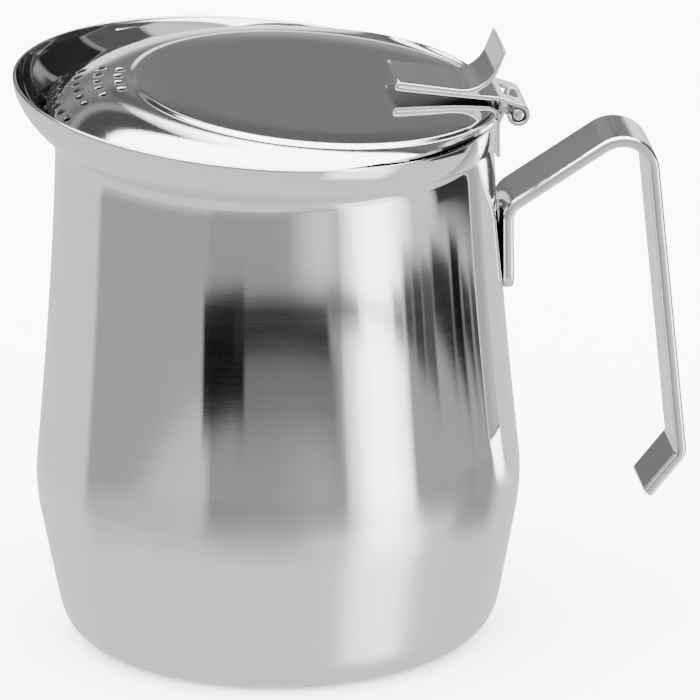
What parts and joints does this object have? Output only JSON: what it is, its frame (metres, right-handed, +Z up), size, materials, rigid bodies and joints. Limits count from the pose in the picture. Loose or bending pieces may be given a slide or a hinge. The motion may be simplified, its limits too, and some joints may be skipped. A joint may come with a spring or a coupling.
{
  "type": "candle melting pot",
  "caption": "Stainless steel wax melting jug with a wide pouring lip, a hinged strainer lid with a thumb lever, and a bent bar handle.",
  "frame": {"origin": "centre of the base, on the surface that the pot stands on", "axes": "+Z up along the jug's axis; +X from the axis towards the hinge and the handle, so -X points to the pouring lip"},
  "size_m": [0.1384, 0.1, 0.1249],
  "materials": {
    "jug_steel": "fine horizontal brushing outside, polished at the lip",
    "polished_steel": "polished, with fine handling scratches",
    "lid_steel": "mirror polished",
    "pin_steel": "drawn wire, satin"
  },
  "bodies": {
    "jug": {"pot_body": "jug_steel", "handle": "polished_steel", "hinge_bracket": "polished_steel", "hinge_pin": "pin_steel"},
    "lid": {"lid": "lid_steel", "lid_strap": "polished_steel"}
  },
  "joints": [
    {"name": "lid_hinge", "type": "hinge", "parent": "jug", "child": "lid", "pos_m": [0.0498, 0, 0.11055], "axis": [0, 1, 0], "range_deg": [0, 140]}
  ]
}
